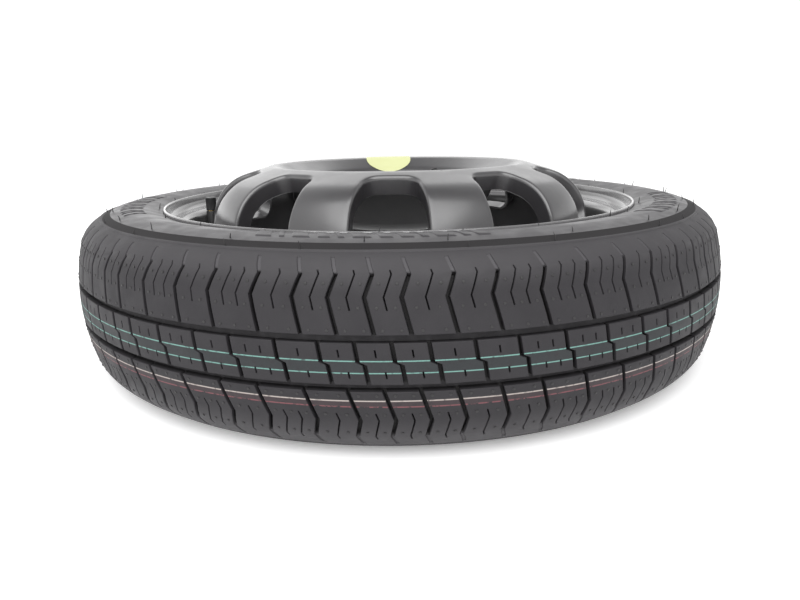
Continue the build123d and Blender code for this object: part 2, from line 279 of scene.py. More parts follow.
class Finish:
    """A material under construction: its shader, and short ways to add and link nodes."""

    def __init__(self, name, **sockets):
        """A new material with the named sockets filled, where an underscore stands for a space."""
        self.material = bpy.data.materials.new(name)
        self.material.use_nodes = True
        self.tree = self.material.node_tree
        self.shader = self.tree.nodes["Principled BSDF"]
        for socket, value in sockets.items():
            self.shader.inputs[socket.replace("_", " ")].default_value = value
        self.place = self.node("ShaderNodeTexCoord").outputs["Object"]

    def node(self, kind, inputs=None, **settings):
        """A node in this material's tree."""
        return add_node(self.tree, kind, inputs, **settings)

    def link(self, value, socket):
        """A value made the input of the shader."""
        self.tree.links.new(value, self.shader.inputs[socket])

    def math(self, operation, first, second=0.0, third=0.0):
        """One step of arithmetic on up to three values."""
        inputs = {0: first, 1: second, 2: third}
        return self.node("ShaderNodeMath", inputs, operation=operation).outputs[0]

    def product(self, first, *others):
        """All the values multiplied together."""
        for other in others:
            first = self.math("MULTIPLY", first, other)
        return first

    def ramp(self, value, low, high, to_low=0.0, to_high=1.0):
        """A smooth step of a value between low and high."""
        return smooth_step(self.tree, value, low, high, to_low, to_high)

    def band(self, value, middle, half_width, soft):
        """1 within half_width of the middle, falling to 0 over the soft width."""
        away = self.math("ABSOLUTE", self.math("SUBTRACT", value, middle))
        return self.ramp(away, half_width, half_width + soft, 1.0, 0.0)

    def noise(self, scale, detail=3.0, roughness=0.55):
        """A noise over the object's own place, about 0.5 on average."""
        inputs = {"Vector": self.place, "Scale": scale, "Detail": detail, "Roughness": roughness}
        return self.node("ShaderNodeTexNoise", inputs).outputs["Fac"]

    def level(self, share, first, second):
        """A value between two others: first at share 0, second at share 1."""
        return self.node("ShaderNodeMix", {0: share, 2: first, 3: second}).outputs[0]

    def mix(self, share, first, second):
        """A colour between two others: first at share 0, second at share 1."""
        return self.node("ShaderNodeMix", {0: share, 6: first, 7: second}, data_type="RGBA").outputs[2]

    def bump(self, height, distance, strength=1.0):
        """A fine relief in the shading, from a height between 0 and 1 and its distance in metres."""
        inputs = {"Height": height, "Distance": distance, "Strength": strength}
        self.link(self.node("ShaderNodeBump", inputs).outputs["Normal"], "Normal")

    def radius_and_height(self):
        """Millimetres from the wheel's axis and over the tyre's middle plane."""
        apart = self.node("ShaderNodeSeparateXYZ", {0: self.place})
        flat = self.node("ShaderNodeCombineXYZ", {"X": apart.outputs["X"], "Y": apart.outputs["Y"]})
        length = self.node("ShaderNodeVectorMath", {0: flat.outputs[0]}, operation="LENGTH").outputs["Value"]
        height = self.math("MULTIPLY_ADD", apart.outputs["Z"], 1000.0, -MID)
        return self.math("MULTIPLY", length, 1000.0), height


def tyre_rubber():
    """Dull dark rubber: mottled colour, shoulders made paler as painted light (a painted highlight on the
    upper one, painted light from the floor on the lower one), a matte band under the upper shoulder darkened
    as painted shade, a smoother ring inside it, shallow groove tails painted pale as a painted highlight,
    grooves darkened with depth as painted shade, and the tread's thin paint lines. The attribute called cut
    is the depth of the tread's cuts in millimetres.
    """
    finish = Finish("tyre_rubber", Specular_IOR_Level=0.25)
    radius, height = finish.radius_and_height()
    cut = finish.node("ShaderNodeAttribute", attribute_name="cut").outputs["Fac"]
    ring = finish.ramp(radius, BAND_EDGE[0] + 0.3, BAND_EDGE[0] - 0.3)
    band = finish.product(finish.band(radius, 263.4, 2.9, 0.4), finish.ramp(height, 61.0, 62.0))
    top = finish.product(finish.ramp(cut, 0.15, 0.5, 1.0, 0.0), finish.ramp(radius, 262.0, 268.0))
    tail = finish.product(finish.band(cut, 0.9, 0.25, 0.2), finish.ramp(height, 52.0, 52.6), 0.75)
    pale = (0.062, 0.0595, 0.063, 1)
    mottle = finish.noise(38.0, 5.0, 0.6)
    colour = finish.mix(mottle, (0.0178, 0.0166, 0.0186, 1), (0.026, 0.0243, 0.0272, 1))
    # Painted light: the pale tone makes the shoulders paler, a painted highlight on the upper shoulder and
    # painted light from the floor on the lower one.
    colour = finish.mix(finish.ramp(height, 40.0, 58.0, 0.0, 0.55), colour, pale)
    colour = finish.mix(finish.ramp(height, -34.0, -54.0, 0.0, 0.7), colour, pale)
    # Painted shade: the band under the upper shoulder is darkened; its matte roughness is its own.
    colour = finish.mix(band, colour, (0.017, 0.0158, 0.0168, 1))
    # Painted highlight: the shallow groove tails near the upper shoulder are painted pale.
    colour = finish.mix(tail, colour, (0.075, 0.072, 0.077, 1))
    # Painted shade: the grooves are darkened with their depth, and the floors of the straight grooves are
    # set back to a rubber tone.
    colour = finish.mix(finish.ramp(cut, 1.3, 3.6), colour, (0.009, 0.0083, 0.0088, 1))
    colour = finish.mix(finish.ramp(cut, 4.5, 4.9), colour, (0.024, 0.0225, 0.0245, 1))
    worn = finish.ramp(finish.noise(300.0, 3.0), 0.22, 0.5)
    broken = finish.ramp(finish.noise(260.0, 4.0, 0.7), 0.40, 0.52)
    teal = (0.15, 0.30, 0.265, 1)
    line_soft = 0.35
    lines = (
        (2.1, 0.2, teal, 0.85, worn),
        (-5.3, 0.2, teal, 0.8, worn),
        (-1.6, 3.2, (0.032, 0.056, 0.056, 1), 0.15, worn),
        (-23.4, 0.24, (0.40, 0.355, 0.33, 1), 0.85, worn),
        (-27.4, 0.24, (0.19, 0.065, 0.075, 1), 0.75, broken),
        (-25.4, 1.6, (0.07, 0.043, 0.046, 1), 0.32, worn),
    )
    for middle, half_width, paint, cover, wear in lines:
        share = finish.product(finish.band(height, middle, half_width, line_soft), cover, top, wear)
        colour = finish.mix(share, colour, paint)
    finish.link(colour, "Base Color")
    drift = finish.noise(60.0)
    rough = finish.ramp(drift, 0.3, 0.7, 0.56, 0.68)
    smooth = finish.ramp(drift, 0.3, 0.7, 0.30, 0.42)
    matte = 0.82
    finish.link(finish.level(band, finish.level(ring, rough, smooth), matte), "Roughness")
    finish.bump(finish.noise(900.0, 4.0), 0.00012, 0.5)
    return finish.material


def black_paint():
    """Satin black dip paint over sheet steel: a soft orange peel, dust in the colour and uneven gloss."""
    finish = Finish("black_paint", Specular_IOR_Level=0.9, Coat_Weight=0.7, Coat_Roughness=0.22)
    dust = finish.ramp(finish.noise(26.0, 6.0, 0.65), 0.45, 0.75)
    colour = finish.mix(dust, (0.021, 0.0198, 0.0220, 1), (0.031, 0.0294, 0.0315, 1))
    speck = finish.product(finish.ramp(finish.noise(700.0, 2.0), 0.70, 0.76), 0.5)
    finish.link(finish.mix(speck, colour, (0.06, 0.058, 0.056, 1)), "Base Color")
    finish.link(finish.ramp(finish.noise(45.0, 4.0), 0.3, 0.7, 0.30, 0.38), "Roughness")
    finish.bump(finish.noise(260.0, 2.0), 0.00005, 0.2)
    return finish.material


def rim_paint():
    """Glossier paint on the rolled rim, greyer than the disc's as a painted sheen, with real dust in it, and
    made near black and dull as painted shade round the ledge where the valve stands.
    """
    finish = Finish("rim_paint", Specular_IOR_Level=1.0, Coat_Weight=0.8, Coat_Roughness=0.12)
    height = finish.radius_and_height()[1]
    # Painted shade: from about 15 to 47 mm over the middle plane, round the ledge, the rim is made near
    # black and matte.
    ledge = finish.band(height, 31.0, 16.0, 2.5)
    dust = finish.ramp(finish.noise(26.0, 6.0, 0.65), 0.4, 0.75)
    # Painted sheen: this paint is greyer than the disc's black; the dust mottling in it is real.
    colour = finish.mix(dust, (0.082, 0.079, 0.082, 1), (0.108, 0.105, 0.107, 1))
    finish.link(finish.mix(ledge, colour, (0.004, 0.0038, 0.004, 1)), "Base Color")
    gloss = finish.ramp(finish.noise(45.0, 4.0), 0.3, 0.7, 0.15, 0.23)
    matte = 0.9
    finish.link(finish.level(ledge, gloss, matte), "Roughness")
    finish.bump(finish.noise(120.0, 2.0), 0.00004, 0.12)
    return finish.material


def plain_finish(name, light, dark, rough_low, rough_high, scale, **sockets):
    """A finish whose colour and roughness drift between two values with one noise, with a fine bump."""
    finish = Finish(name, **sockets)
    drift = finish.noise(scale, 4.0)
    finish.link(finish.mix(drift, (*dark, 1), (*light, 1)), "Base Color")
    finish.link(finish.ramp(drift, 0.3, 0.7, rough_low, rough_high), "Roughness")
    finish.bump(finish.noise(scale * 9, 3.0), 0.00005, 0.4)
    return finish.material


RUBBER = tyre_rubber()
PAINT = black_paint()
RIM_PAINT = rim_paint()
VENT_RUBBER = plain_finish("vent_rubber", (0.016, 0.015, 0.016), (0.011, 0.0105, 0.011), 0.5, 0.65, 220.0)
VALVE_RUBBER = plain_finish("valve_rubber", (0.02, 0.02, 0.021), (0.013, 0.013, 0.013), 0.42, 0.55, 160.0)
CAP_PLASTIC = plain_finish("cap_plastic", (0.017, 0.017, 0.018), (0.012, 0.012, 0.012), 0.3, 0.42, 240.0)
BRASS = plain_finish("valve_brass", (0.74, 0.56, 0.25), (0.55, 0.39, 0.16), 0.22, 0.38, 300.0, Metallic=1.0)
STEEL = plain_finish("core_steel", (0.62, 0.62, 0.61), (0.48, 0.48, 0.48), 0.25, 0.4, 400.0, Metallic=1.0)
STICKER = plain_finish("sticker_film", (0.56, 0.58, 0.315), (0.53, 0.55, 0.28), 0.35, 0.5, 90.0)


# Tyre

UPPER_SIDE = rounded_line(
    [
        (*SHOULDER_RING, 0.0),
        (268.9, 62.8, 0.3),
        (267.6, 63.2, 0.4),
        (266.6, 62.7, 0.4),
        (*BAND_EDGE, 1.2),
        (254.0, 67.2, 14.0),
        (246.5, 68.5, 14.0),
        (239.0, 68.3, 16.0),
        (229.0, 66.4, 16.0),
        (222.0, 64.2, 6.0),
        (*BEAD_TOP, 0.0),
    ],
    2,
)
BEAD = rounded_line(
    [(*BEAD_TOP, 0.0), (BEAD_TOP[0], 50.4, 9.9), (203.2, 50.4, 5.0), (*BEAD_TOE, 0.0)],
    3,
)
LINER = rounded_line(
    [
        (*BEAD_TOE, 0.0),
        (213.2, 41.4, 10.0),
        (245.0, 61.5, 10.0),
        (269.1, 52.2, 10.0),
        (279.7, 34.5, 10.0),
        (279.7, 0.0, 0.0),
    ],
    1,
)

# Height and sideways run of a cross groove
GROOVE_RUN = np.array(
    [
        (-61.7, 34.3),
        (-57.7, 34.3),
        (-49.3, 30.8),
        (-37.6, 33.4),
        (-17.2, 26.6),
        (-13.0, 18.0),
        (-0.5, 15.7),
        (1.2, 11.7),
        (13.0, 9.7),
        (17.2, 0.0),
        (39.0, -5.75),
        (51.5, -1.15),
        (59.9, -4.6),
        (61.7, -4.6),
    ]
)


def tread_surface(heights):
    """The tread's radius and outward normal at each height: the crown's arc, then the shoulder's arc past
    the crown's edge.
    """
    edge = asin(TREAD_HALF / CROWN_ARC)
    arm = CROWN_ARC - SHOULDER_ARC
    past = np.abs(heights) > TREAD_HALF
    centre_r = TYRE_RADIUS - CROWN_ARC + np.where(past, arm * cos(edge), 0)
    centre_z = np.where(past, np.sign(heights) * arm * sin(edge), 0)
    arc = np.where(past, SHOULDER_ARC, CROWN_ARC)
    radius = centre_r + np.sqrt(arc**2 - (heights - centre_z) ** 2)
    return radius, (radius - centre_r) / arc, (heights - centre_z) / arc


def groove_run(heights):
    """A cross groove's sideways run at each height, read from its corners."""
    return np.interp(heights, GROOVE_RUN[:, 0], GROOVE_RUN[:, 1])


def pitches():
    """The tread's pitches round the tyre: where each starts, how long it is, and the shares of it where its
    sipes lie.
    """
    steps = np.array([PITCH_SHARES[letter] for letter in PITCH_SEQUENCE])
    turns = FULL_TURN * steps / steps.sum()
    starts = radians(FIRST_GROOVE_DEGREES) + np.concatenate([[0], np.cumsum(turns)[:-1]])
    shares = [(0.36, 0.68) if letter == "L" else (0.52,) for letter in PITCH_SEQUENCE]
    return list(zip(starts, turns, shares))


def tread_columns():
    """The tread's columns round the tyre: the angle of each, and how much of a groove or a sipe it cuts.

    Each pitch starts with a cross groove of six columns (edges, bevels and floor). A long pitch has two
    sipes and the others one, of three columns each, which also cut the centre rib's ticks.
    """
    groove_offsets = np.array([-1.85, -1.4, -1.05, 1.05, 1.4, 1.85]) / TYRE_RADIUS
    groove_cuts = np.array([0, 0.06, 1, 1, 0.06, 0])
    sipe_offsets = np.array([-0.6, 0, 0.6]) / TYRE_RADIUS
    sipe_cuts = np.array([0, 1, 0])
    columns = []
    for start, turn, shares in pitches():
        offsets = [groove_offsets, *[share * turn + sipe_offsets for share in shares]]
        sipes = np.tile(sipe_cuts, len(shares))
        columns.append(
            [
                start + np.concatenate(offsets),
                np.concatenate([groove_cuts, 0 * sipes]),
                np.concatenate([0 * groove_cuts, sipes]),
            ]
        )
    return np.concatenate(columns, axis=1)


def tread_depths(heights):
    """How deep a straight groove, a cross groove, and a sipe or tick are at each height, read between the
    heights where they change.
    """
    straight_cuts = [0, BEVEL_DEPTH, GROOVE_DEPTH, GROOVE_DEPTH, BEVEL_DEPTH, 0]
    straight = np.interp(np.abs(heights), STRAIGHT_GROOVE, straight_cuts)
    cross_cuts = [0, TAIL_END_DEPTH, TAIL_DEPTH, CROSS_DEPTH, CROSS_DEPTH, TAIL_DEPTH, TAIL_END_DEPTH, 0]
    cross = np.interp(heights, CROSS_GROOVE, cross_cuts)
    thin_cuts = [0, SIPE_DEPTH, SIPE_DEPTH, 0, 0, SIPE_DEPTH, SIPE_DEPTH, 0]
    thin = np.maximum(np.interp(heights, SIPES, thin_cuts), np.interp(heights, TICKS, thin_cuts))
    return straight, cross, thin


def build_tyre():
    """The tyre as one closed grid. Rows go over the tread, down the upper sidewall and bead, through the
    liner and back. Columns follow the cross grooves: each is turned by the groove's sideways run at that
    height. A point is sunk along the section's normal by the deepest of the cuts that meet there.
    """
    cuts = [CROSS_GROOVE, SIPES, TICKS, STRAIGHT_GROOVE, np.negative(STRAIGHT_GROOVE)]
    heights = np.unique(np.concatenate([LOWER_PLAIN_ROWS, UPPER_PLAIN_ROWS, *cuts]))
    radius, out_r, out_z = tread_surface(heights)
    inner = np.vstack([UPPER_SIDE[1:], BEAD[1:], LINER[1:]])
    back = inner[-2::-1] * [1, -1]
    section = np.vstack([np.column_stack([radius, heights]), inner, back])
    normal = np.zeros_like(section)
    normal[: len(heights)] = np.column_stack([out_r, out_z])
    on_tread = np.arange(len(section)) < len(heights)
    run_end = 38.0
    off_tread_run = np.interp(section[:, 1], [-run_end, run_end], GROOVE_RUN[[0, -1], 1])
    run = np.where(on_tread, groove_run(section[:, 1]), off_tread_run)
    angles, groove_cuts, sipe_cuts = tread_columns()
    straight, cross, thin = (depth[:, None] * on_tread[:, None] for depth in tread_depths(section[:, 1]))
    depth = np.maximum(np.maximum(straight, cross * groove_cuts), thin * sipe_cuts)
    grid = place(
        section[:, :1] - depth * normal[:, :1],
        angles[None, :] + run[:, None] / TYRE_RADIUS,
        section[:, 1:] - depth * normal[:, 1:],
    )
    patches = [(grid, True, True)]
    tyre = add_piece("tyre_with_tread", patches, RUBBER, "wheel", "tyre", 30, welded=False)
    cut = tyre.data.attributes.new("cut", "FLOAT", "POINT")
    cut.data.foreach_set("value", depth.ravel().astype(np.float32))


# Rim


def build_rim():
    """The rolled rim: one line from flange to flange over seats, humps and well, made a sheet and turned."""
    half = [
        (FLANGE_RADIUS, FLANGE_TOP - RIM_SHEET / 2, 0.0),
        (FLANGE_RADIUS, RIM_HALF_WIDTH, 9.5),
        (SEAT_RADIUS, RIM_HALF_WIDTH, 5.0),
        (201.724, 38.5, 4.0),
        (HUMP_RADIUS, 35.5, 4.0),
    ]
    well = [
        (HUMP_RADIUS, 30.3, 4.1),
        (WELL_RADIUS, 30.3, 1.9),
        (WELL_RADIUS, -12.0, 8.0),
        (HUMP_RADIUS, -32.0, 4.1),
    ]
    line = half + well + [(radius, -height, blend) for radius, height, blend in reversed(half)]
    section = sheet_section(rounded_line(line, 5), RIM_SHEET)
    patches = [(turned(section, even_turn(240)), True, True)]
    add_piece("rolled_rim", patches, RIM_PAINT, "wheel", "rim", 40)


# Disc

DISC_LINE = rounded_line(
    [
        (DISC_RADIUS, SKIRT_FOOT, 0.0),
        (DISC_RADIUS, 65.0, 45.6),
        (157.5, 86.9, 45.6),
        (*CROWN, 14.0),
        (*DISH_KNEE, 20.0),
        (76.0, PAD_TOP, 10.0),
        (BORE_FRAME, PAD_TOP, 0.0),
    ],
    10,
)
DISC_TRAVEL = travel_along(DISC_LINE)
DISC_IN = -right_of(DISC_LINE)


def disc_point(azimuth, travel, sunk=0.0):
    """A point of the disc from its azimuth and its travel along the section, sunk below the outer face."""
    values = (*DISC_LINE.T, *DISC_IN.T)
    line_r, line_z, in_r, in_z = (np.interp(travel, DISC_TRAVEL, value) for value in values)
    return place(line_r + sunk * in_r, azimuth, line_z + sunk * in_z)


def disc_travel(points):
    """Travel along the section of points on or near the dome, by their direction from a pivot inside it."""
    direction = np.arctan2(DISC_LINE[:, 1] - DOME_PIVOT[1], DISC_LINE[:, 0] - DOME_PIVOT[0])
    over = direction[: np.argmax(direction) + 1]
    radius = np.hypot(points[..., 0], points[..., 1])
    sight = np.arctan2(points[..., 2] - DOME_PIVOT[1], radius - DOME_PIVOT[0])
    return np.interp(sight, over, DISC_TRAVEL[: len(over)])


def azimuth_and_travel(points):
    """Azimuth, and travel along the section, of points on or near the dome."""
    return np.column_stack([np.arctan2(points[:, 1], points[:, 0]), disc_travel(points)])


def corner_travel(corner):
    """Travel along the section of its point nearest to a corner."""
    return DISC_TRAVEL[np.argmin(np.hypot(*(DISC_LINE - corner).T))]


def onto_disc(points, direction):
    """Points slid along a direction until they meet the disc's outer face, by halving the stretch that holds
    the meeting point again and again.
    """
    reach, halvings = 40.0, 40
    near, far = np.full(points.shape[:-1], reach), np.full(points.shape[:-1], -reach)
    dome = DISC_LINE[::-1]
    for _ in range(halvings):
        middle = (near + far) / 2
        there = points + middle[..., None] * direction
        radius = np.hypot(there[..., 0], there[..., 1])
        outside = (radius > DISC_RADIUS) | (there[..., 2] > np.interp(radius, dome[:, 0], dome[:, 1]))
        near, far = np.where(outside, middle, near), np.where(outside, far, middle)
    return points + near[..., None] * direction


def mirrored(half):
    """A half outline, and the way back along its mirror image without the two ends again."""
    return np.vstack([half, half[-2:0:-1] * [-1, 1]])


def around(steps, line, stops):
    """Points of a mirrored outline in step with a frame: its half is divided at two stops into three runs,
    and each run into even steps.
    """
    travel = travel_along(line)
    ends = [0, *travel[list(stops)], travel[-1]]
    shares = [np.linspace(a, b, n, endpoint=False) for a, b, n in zip(ends, ends[1:], steps)]
    at = np.concatenate([*shares, ends[-1:]])
    return mirrored(np.column_stack([np.interp(at, travel, value) for value in line.T]))


def circle_around(steps):
    """A unit circle in step with a frame, sideways and upward, from its lowest point round."""
    turn = np.linspace(-pi / 2, pi / 2, sum(steps) + 1)
    return mirrored(np.column_stack([np.cos(turn), np.sin(turn)]))


def frame_around(steps, half_width, low, high):
    """The frame's own points in the same step: out along the bottom, up the side, in along the top, and
    mirrored.
    """
    bottom, side, top = steps
    out = np.column_stack([np.linspace(0, half_width, bottom, endpoint=False), np.full(bottom, low)])
    up = np.column_stack([np.full(side, half_width), np.linspace(low, high, side, endpoint=False)])
    back = np.column_stack([np.linspace(half_width, 0, top + 1), np.full(top + 1, high)])
    return mirrored(np.vstack([out, up, back]))


def rings_to_frame(inner, border, shares, sunk=0.0):
    """Rings between an inner outline and a frame, both in azimuth and travel, at shares of the way out."""
    return [disc_point(*(inner + share * (border - inner)).T, sunk) for share in shares]


def bend(first, corner, last, share):
    """A point of the curve that leaves first towards the corner and reaches last from it: the square of what
    is left times first, twice the product times the corner, the square of the share times last.
    """
    return (1 - share) ** 2 * first + 2 * share * (1 - share) * corner + share**2 * last


# Travel where the window sectors' frame starts on the straight skirt and where it ends near the crown
SECTOR_LOW = SECTOR_FOOT - SKIRT_FOOT
SECTOR_HIGH = disc_travel(np.array([SECTOR_TOP[0], 0, SECTOR_TOP[1]]))


def window_sector():
    """One tenth of the dome, with its window. Rings run from the sector's frame to the window on the outer
    face, roll over its edge into a collar, turn round the collar's end and come back along the inner face.
    """
    steps = (12, 26, 14)
    corner_steps = 24
    corners = [(0, -30.0, 0), (30.8, -30.0, 11.0), (28.0, 8.0, 130.0), (18.5, 39.0, 12.0), (0, 39.0, 0)]
    bottom_corner = 1 + corner_steps // 2
    top_corner = bottom_corner + 2 * (corner_steps + 1)
    outline = around(steps, rounded_line(corners, corner_steps), (bottom_corner, top_corner))
    out = np.array([WINDOW_TILT[0], 0, WINDOW_TILT[1]]) / np.hypot(*WINDOW_TILT)
    up = np.array([-out[2], 0, out[0]])
    across = np.array([0, 1.0, 0])
    centre = np.array([WINDOW_CENTRE[0], 0, WINDOW_CENTRE[1]])
    edge = onto_disc(centre + outline[:, :1] * across + outline[:, 1:] * up, out)
    along = np.roll(outline, -1, axis=0) - np.roll(outline, 1, axis=0)
    along /= np.linalg.norm(along, axis=1, keepdims=True)
    away = along[:, 1:] * across - along[:, :1] * up
    edge_at = azimuth_and_travel(edge)
    face_r, face_z = (-np.interp(edge_at[:, 1], DISC_TRAVEL, value) for value in DISC_IN.T)
    inward = -out - place(face_r, edge_at[:, 0], face_z)
    # The collar leans less towards the wheel's axis near the window's top
    top_height, top_share = 36.0, 0.25
    inward[:, 0] *= np.interp(outline[:, 1], [0, top_height], [1, top_share])
    inward /= np.linalg.norm(inward, axis=1, keepdims=True)
    start_at = azimuth_and_travel(edge + away * WINDOW_ROLL)
    border = frame_around(steps, pi / WINDOW_COUNT, SECTOR_LOW, SECTOR_HIGH)
    crowding = 1.2
    rings = rings_to_frame(start_at, border, np.linspace(1, 0, 7) ** crowding)
    roll_start, roll_end = rings[-1], edge + inward * WINDOW_ROLL
    rings += [bend(roll_start, edge, roll_end, share) for share in np.linspace(0, 1, 7)[1:]]
    collar_end = (
        (COLLAR - COLLAR_ROUND, 0.0),
        (COLLAR, COLLAR_ROUND),
        (COLLAR, DISC_SHEET - COLLAR_ROUND),
        (COLLAR - COLLAR_ROUND, DISC_SHEET),
    )
    rings += [edge + inward * deep + away * thick for deep, thick in collar_end]
    inner_roll = WINDOW_ROLL + 1.0
    inner_start = edge + inward * inner_roll + away * DISC_SHEET
    inner_corner = disc_point(*edge_at.T, DISC_SHEET) + away * DISC_SHEET
    inner_end = disc_point(*start_at.T, DISC_SHEET) + away * DISC_SHEET / 2
    rings += [bend(inner_start, inner_corner, inner_end, share) for share in np.linspace(0, 1, 5)]
    rings += rings_to_frame(azimuth_and_travel(inner_end), border, np.linspace(0, 1, 6)[1:], DISC_SHEET)
    return np.stack(rings)


def bolt_sector():
    """One fifth of the hub pad, with its bolt hole. Rings run from the frame to the hole's cone on the outer
    face, down the cone and the hole, and back along the inner face. The frame is in azimuth and radius.
    """
    steps = (20, 12, 20)
    border = frame_around(steps, pi / BOLT_COUNT, BORE_FRAME, PAD_RADIUS)
    frame_top = place(border[:, 1], border[:, 0], PAD_TOP)
    frame_under = frame_top - [0, 0, DISC_SHEET]
    sideways, outward = circle_around(steps).T
    ring = np.column_stack([outward, sideways, 0 * outward])
    seat = [[BOLT_CIRCLE_RADIUS, 0, height] + ring * size for size, height in BOLT_SEAT]
    rings = [seat[0] + share * (frame_top - seat[0]) for share in np.linspace(1, 0, 6)]
    rings += seat[1:]
    rings += [seat[-1] + share * (frame_under - seat[-1]) for share in np.linspace(0, 1, 5)[1:]]
    return np.stack(rings)


def dish_hole(middle, half_width, rows):
    """The block of the dish's knee with its drain hole. Rings run from the block's edge to the hole on the
    outer face, through it and back along the inner face, all of them in azimuth and travel.
    """
    steps = (DISH_HOLE_COLUMNS, len(rows) - 1, DISH_HOLE_COLUMNS)
    border = frame_around(steps, half_width, rows[0], rows[-1]) + [middle, 0]
    circle = circle_around(steps) / [DISH_KNEE[0], 1]
    centre = np.array([radians(DISH_HOLE_DEGREES), rows[len(rows) // 2]])
    mouth = centre + circle * DISH_HOLE_MOUTH
    rings = rings_to_frame(mouth, border, np.linspace(1, 0, 5))
    rings += [disc_point(*(centre + circle * size).T, sunk) for size, sunk in DISH_HOLE_SIZES]
    rings += rings_to_frame(mouth, border, np.linspace(0, 1, 5), DISC_SHEET)
    return np.stack(rings)


def sectors(grid, count):
    """A grid repeated round the wheel's axis in even turns from the first window on."""
    start = radians(WINDOW_DEGREES)
    return [(turn_about_axis(grid, start + FULL_TURN * k / count), False, True) for k in range(count)]


def build_disc():
    """The pressed disc: ten window sectors, and the skirt, crown, dish and hub pad turned between them. The
    dish's knee is left open over a block of columns, which the drain hole's rings fill.
    """
    column = radians(COLUMN_DEGREES)
    count = round(360 / COLUMN_DEGREES)
    start = radians(WINDOW_DEGREES)
    azimuths = start + column * np.arange(count)
    skirt = np.linspace(0.0, SECTOR_LOW, 5)
    outer = disc_point(azimuths[None, :], skirt[:, None])
    inner = disc_point(azimuths[None, :], skirt[::-1, None], DISC_SHEET)
    lip = place(DISC_RADIUS - DISC_SHEET / 2, azimuths[None, :], SKIRT_FOOT - LIP_DROP)
    patches = sectors(window_sector(), WINDOW_COUNT)
    patches.append((np.concatenate([inner, lip, outer]), False, True))
    hole = round((DISH_HOLE_DEGREES - WINDOW_DEGREES) / COLUMN_DEGREES)
    beside_hole = np.arange(hole + DISH_HOLE_COLUMNS, hole - DISH_HOLE_COLUMNS + count + 1)
    block = corner_travel(DISH_KNEE) + np.linspace(-DISH_BLOCK_HALF, DISH_BLOCK_HALF, 9)
    pad = DISC_TRAVEL[-1] - (PAD_RADIUS - BORE_FRAME)
    above = DISC_TRAVEL[(DISC_TRAVEL > SECTOR_HIGH + ROW_GAP) & (DISC_TRAVEL < block[0] - ROW_GAP)]
    below = DISC_TRAVEL[(DISC_TRAVEL > block[-1] + ROW_GAP) & (DISC_TRAVEL < pad - ROW_GAP)]
    bands = (
        (np.concatenate([[SECTOR_HIGH], above, block[:1]]), azimuths, True),
        (block, start + column * beside_hole, False),
        (np.concatenate([block[-1:], below, [pad]]), azimuths, True),
    )
    for rows, columns, closes in bands:
        patches.append((disc_point(columns[None, :], rows[:, None]), False, closes))
        patches.append((disc_point(columns[None, :], rows[:, None], DISC_SHEET), False, closes))
    patches.append((dish_hole(azimuths[hole], DISH_HOLE_COLUMNS * column, block), False, True))
    patches += sectors(bolt_sector(), BOLT_COUNT)
    pad_under = PAD_TOP - DISC_SHEET
    bore = np.array(
        [
            (BORE_FRAME, PAD_TOP),
            (32.9, 45.7),
            (32.55, 45.0),
            (32.55, 44.0),
            (32.9, 43.3),
            (BORE_FRAME, pad_under),
        ]
    )
    patches.append((turned(bore, azimuths), False, True))
    add_piece("pressed_disc", patches, PAINT, "wheel", "wheel_disc", 40)


def build_welds():
    """Ten weld runs under the skirt: a round bead along an arc, its radius rippling with the travel of the
    torch and shrinking to nearly nothing at both ends.
    """
    bead, ripple, ripples = 2.3, 0.22, 15
    bead_radius, bead_height = DISC_RADIUS - 1.9, -7.2
    share = np.linspace(0, 1, 61)[:, None]
    ends = np.minimum(1, 6 * np.sqrt(share * (1 - share) + 1e-4))
    size = (bead + ripple * np.sin(share * FULL_TURN * ripples)) * ends
    turn = even_turn(10)
    patches = []
    for k in range(WINDOW_COUNT):
        first = radians(WINDOW_DEGREES + 360 / WINDOW_COUNT * k + WELD_DEGREES)
        azimuth = first - radians(WELD_DEGREES) * share
        grid = place(bead_radius + size * np.cos(turn), azimuth, bead_height + size * np.sin(turn))
        patches.append((grid, False, True))
    add_piece("weld_runs", patches, PAINT, "wheel", sharp_degrees=60)


# Sticker


def build_sticker():
    """A round film wrapped over the crown and its inner slope: a disc's rings and spokes, measured along the
    section and across it, and lifted off the face.
    """
    rings = np.concatenate([np.linspace(0, STICKER_RADIUS - FILM_ROUND, 14), [STICKER_RADIUS]])[:, None]
    turn = even_turn(72)[None, :]
    travel = corner_travel(CROWN) + STICKER_DOWN + rings * np.sin(turn)
    radius = np.interp(travel, DISC_TRAVEL, DISC_LINE[:, 0])
    azimuth = radians(STICKER_DEGREES) + rings * np.cos(turn) / radius
    lift = np.where(rings < STICKER_RADIUS, FILM_TOP, FILM_EDGE)
    over = disc_point(azimuth, travel, -lift)
    under = disc_point(azimuth[::-1], travel[::-1], -FILM_FOOT)
    patches = [(np.concatenate([over, under]), False, True)]
    add_piece("round_sticker", patches, STICKER, "wheel", "speed_sticker", 60)


# Valve


